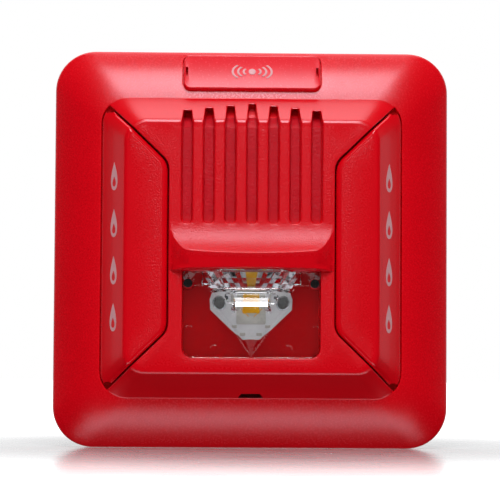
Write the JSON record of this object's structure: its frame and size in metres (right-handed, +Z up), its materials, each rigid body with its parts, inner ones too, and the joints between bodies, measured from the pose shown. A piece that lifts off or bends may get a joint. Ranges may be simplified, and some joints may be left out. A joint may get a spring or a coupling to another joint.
{
  "type": "wall horn strobe",
  "caption": "Square red wall-mounted fire alarm horn strobe with slotted sounder grille, hooded clear LED strobe lens, snap-in side panels and a hinged wall plate.",
  "frame": {"origin": "centre of the wall plate's back face, on the wall", "axes": "+Z up, -Y forward out of the wall, +X to the viewer's right"},
  "size_m": [0.137, 0.0358, 0.138],
  "materials": {
    "red_plastic": "glossy with fine moulded texture on the flat face",
    "badge_plastic": "glossy",
    "dark_plastic": "matt",
    "clear_plastic": "clear and glossy",
    "steel": "zinc plated",
    "black_steel": "black",
    "brass": "satin",
    "ceramic": "matt",
    "foam": "matt",
    "board_green": "satin",
    "board_white": "satin",
    "mirror": "mirror",
    "aluminium": "satin",
    "capacitor_sleeve": "glossy",
    "ferrite": "matt",
    "led_package": "satin",
    "phosphor": "satin",
    "red_wire": "satin",
    "black_wire": "satin",
    "green_plastic": "satin",
    "white_plastic": "satin",
    "blue_plastic": "satin"
  },
  "bodies": {
    "wall_plate": {"mounting_plate": "dark_plastic"},
    "head": {"front_cover": "red_plastic", "rear_cover": "dark_plastic", "cover_screws": "steel", "badge_plate": "badge_plastic", "horn_baffle": "red_plastic", "sounder_cup": "dark_plastic", "sounder_gasket": "foam", "piezo_disc": "brass", "piezo_ceramic": "ceramic", "sounder_cap": "dark_plastic", "main_board": "board_green", "board_screws": "steel", "storage_capacitors": "capacitor_sleeve", "boost_inductor": "ferrite", "control_chip": "dark_plastic", "strobe_lens": "clear_plastic", "lens_screws": "black_steel", "strobe_reflector": "mirror", "led_board": "board_white", "led_base": "led_package", "led_phosphor": "phosphor", "led_board_screws": "steel", "led_heatsink": "aluminium", "led_leads": "red_wire", "sounder_leads": "black_wire", "terminal_block": "green_plastic", "terminal_clamps": "steel", "terminal_screws": "steel", "candela_switch": "dark_plastic", "tone_switch": "blue_plastic"},
    "latch": {"release_latch": "dark_plastic"},
    "left_panel": {"left_legend_panel": "red_plastic"},
    "right_panel": {"right_legend_panel": "red_plastic"},
    "selector": {"candela_dial": "white_plastic"},
    "lever_1": {"tone_lever_1": "white_plastic"},
    "lever_2": {"tone_lever_2": "white_plastic"},
    "lever_3": {"tone_lever_3": "white_plastic"}
  },
  "joints": [
    {"name": "head_swing", "type": "hinge", "parent": "wall_plate", "child": "head", "pos_m": [0, -0.0032, 0.063], "axis": [-1, 0, 0], "range_deg": [0, 24]},
    {"name": "latch_release", "type": "hinge", "parent": "wall_plate", "child": "latch", "pos_m": [0, -0.0034, -0.05265], "axis": [1, 0, 0], "range_deg": [0, 10], "stiffness_Nm_per_rad": 0.15},
    {"name": "left_panel_pull", "type": "slide", "parent": "head", "child": "left_panel", "axis": [0, -1, 0], "range_m": [0, 0.012]},
    {"name": "right_panel_pull", "type": "slide", "parent": "head", "child": "right_panel", "axis": [0, -1, 0], "range_m": [0, 0.012]},
    {"name": "candela_select", "type": "hinge", "parent": "head", "child": "selector", "pos_m": [-0.015, -0.008, 0.014], "axis": [0, 1, 0], "range_deg": [0, 210]},
    {"name": "tone_lever_1_slide", "type": "slide", "parent": "head", "child": "lever_1", "axis": [0, 0, 1], "range_m": [0, 0.0022]},
    {"name": "tone_lever_2_slide", "type": "slide", "parent": "head", "child": "lever_2", "axis": [0, 0, 1], "range_m": [0, 0.0022]},
    {"name": "tone_lever_3_slide", "type": "slide", "parent": "head", "child": "lever_3", "axis": [0, 0, 1], "range_m": [0, 0.0022]}
  ]
}
